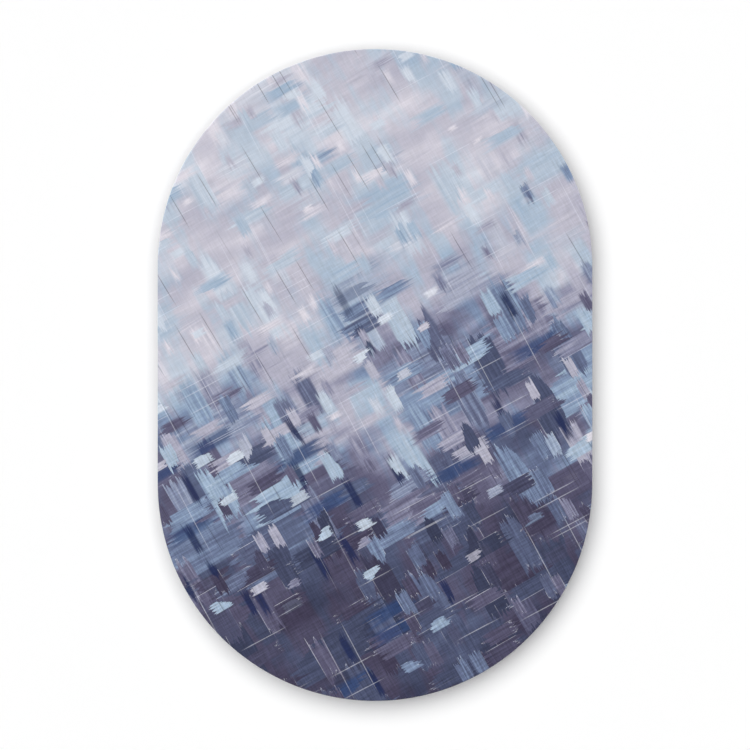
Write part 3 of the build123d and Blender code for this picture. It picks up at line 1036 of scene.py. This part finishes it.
def make_hang_tab():
    place = rim_frame(0)
    eyelet_place = place @ Matrix.Translation((0, EYELET_INSET, 0))
    mesh = strip_mesh(place, TAB_WIDTH, hairpin_path(TAB_BASE, TAB_END), TAB_CORNER)
    hole = (eyelet_place, EYELET_BARREL + EYELET_FIT)
    flap_strip("hang_webbing", ("hang_tab", "hang_tab_root"), mesh, WEBBING, hole)

    width = TAB_WIDTH - 2 * ROOT_MARGIN
    stitched_box("hang_root", place, width, ROOT_STITCHES, ROOT_TOP, "upper", crossed=True)
    width = TAB_WIDTH - 2 * TAB_MARGIN
    stitched_box("hang_tab", place, width, TAB_STITCHES, TAB_TOP, "hang_tab_flap")

    bore, barrel, rim, top = EYELET_BORE, EYELET_BARREL, EYELET_RIM, TAB_TOP
    low = TAB_BASE - FLANGE
    profile = [(bore, low + 0.3 * MM), (bore + 0.3 * MM, low), (rim - 0.5 * MM, low), (rim, low + 0.35 * MM)]
    profile += [(rim - 0.2 * MM, TAB_BASE), (barrel, TAB_BASE), (barrel, top + FLANGE - 0.15 * MM)]
    profile += [(barrel - 0.2 * MM, top + FLANGE), (bore + 0.1 * MM, top + FLANGE - 0.1 * MM)]
    profile += [(bore, top + 0.4 * MM)]
    mesh = lathe_mesh(eyelet_place, profile)
    stand_in("eyelet", "hang_eyelet", mesh, NICKEL, "hang_tab_flap", sharp=50)
    inner = barrel + EYELET_FIT
    profile = [(inner, top), (rim, top), (rim, top + 0.3 * MM), (rim - 0.4 * MM, top + 0.6 * MM)]
    profile += [(rim - 1.4 * MM, top + 0.78 * MM), (inner + 1.2 * MM, top + FLANGE)]
    profile += [(inner + 0.3 * MM, top + 0.7 * MM), (inner, top + 0.5 * MM)]
    mesh = lathe_mesh(eyelet_place, profile)
    stand_in("eyelet_washer", "hang_eyelet_washer", mesh, NICKEL, "hang_tab_flap", sharp=50)


def pad_mesh(place, width, span, base, top, rough, step, seed):
    """A napped pad: a block whose top is a fine grid, roughened by that share of its thickness."""
    chance = random.Random(seed)
    start, end = span
    across, along = round(width / step), round((end - start) / step)
    points, faces = [], []
    for layer in (0, 1):
        for j in range(along + 1):
            for i in range(across + 1):
                height = base
                if layer == 1:
                    on_edge = i in (0, across) or j in (0, along)
                    height = top - (top - base) * rough * (0.8 if on_edge else chance.random())
                x, inset = width * (i / across - 0.5), start + (end - start) * j / along
                points.append(place @ Vector((x, inset, height)))
    row, layer_size = across + 1, (across + 1) * (along + 1)
    for j in range(along):
        for i in range(across):
            quad = [j * row + i, j * row + i + 1, (j + 1) * row + i + 1, (j + 1) * row + i]
            faces.append(quad[::-1])
            faces.append([layer_size + v for v in quad])
    rim = [*range(across)] + [j * row + across for j in range(along)]
    rim += [along * row + i for i in range(across, 0, -1)] + [j * row for j in range(along, 0, -1)]
    for a, b in zip(rim, rim[1:] + rim[:1]):
        faces.append((a, b, layer_size + b, layer_size + a))
    return mesh_of(points, faces)


def add_hooks(mesh, place, width, span, base, top, pitch, seed):
    """Rows of small bent hooks that stand on the pad."""
    chance = random.Random(seed)
    start, end = span
    points, faces = [v.co.copy() for v in mesh.vertices], [list(p.vertices) for p in mesh.polygons]
    across, along = int(width / pitch), int((end - start) / pitch)
    bend = base + 0.6 * (top - base)
    for j in range(along):
        for i in range(across):
            x = (i + 0.5 - across / 2) * pitch + chance.uniform(-0.1, 0.1) * pitch
            inset = start + (j + 0.5) * (end - start) / along
            lean = chance.choice((-1, 1)) * 0.25 * MM
            rings = ((0.0, base, 0.16 * MM), (0.0, bend, 0.11 * MM), (lean, top, 0.13 * MM))
            first = len(points)
            for shift, height, size in rings:
                for dx, dn in ((-1, -1), (1, -1), (1, 1), (-1, 1)):
                    points.append(place @ Vector((x + dx * size, inset + shift + dn * size, height)))
            for ring in (0, 1):
                for k in range(4):
                    a, b = first + 4 * ring + k, first + 4 * ring + (k + 1) % 4
                    faces.append((a, b, b + 4, a + 4))
            faces += [range(first + 8, first + 12), range(first, first + 4)[::-1]]
    return mesh_of(points, faces)


def make_strap():
    place = rim_frame(STRAP_ANGLE)
    mesh = strip_mesh(place, STRAP_WIDTH, hairpin_path(STRAP_BASE, STRAP_END), STRAP_CORNER)
    nodes = ("retaining_strap", "strap_root")
    flap_strip("retaining_elastic", nodes, mesh, ELASTIC)
    width = STRAP_WIDTH - 2 * ROOT_MARGIN
    stitched_box("strap_root", place, width, ROOT_STITCHES, ROOT_TOP, "upper")
    mesh = pad_mesh(place, FLEECE_WIDTH, FLEECE_PAD, ROOT_TOP, STRAP_BASE, rough=0.7, step=0.35 * MM, seed=3)
    stand_in("fleece_pad", "strap_fleece_pad", mesh, FLEECE, "upper", sharp=180)
    base = STRAP_BASE + WEB
    mesh = pad_mesh(place, HOOK_WIDTH, HOOK_PAD, base, base + 0.35 * MM, rough=0.3, step=0.6 * MM, seed=4)
    low, width = base + 0.3 * MM, HOOK_WIDTH - 1 * MM
    mesh = add_hooks(mesh, place, width, HOOK_PAD, low, base + PAD, pitch=1.3 * MM, seed=5)
    stand_in("hook_pad", "strap_hook_pad", mesh, HOOKS, "strap_flap", sharp=30)


make_cloths()
make_rim()
make_band()
make_hang_tab()
make_strap()
for node in ("band_ferrule", "ferrule_rivets"):
    refinish(node, FERRULE_STEEL)
for node in ("hang_backing", "strap_backing"):
    refinish(node, BACKING)
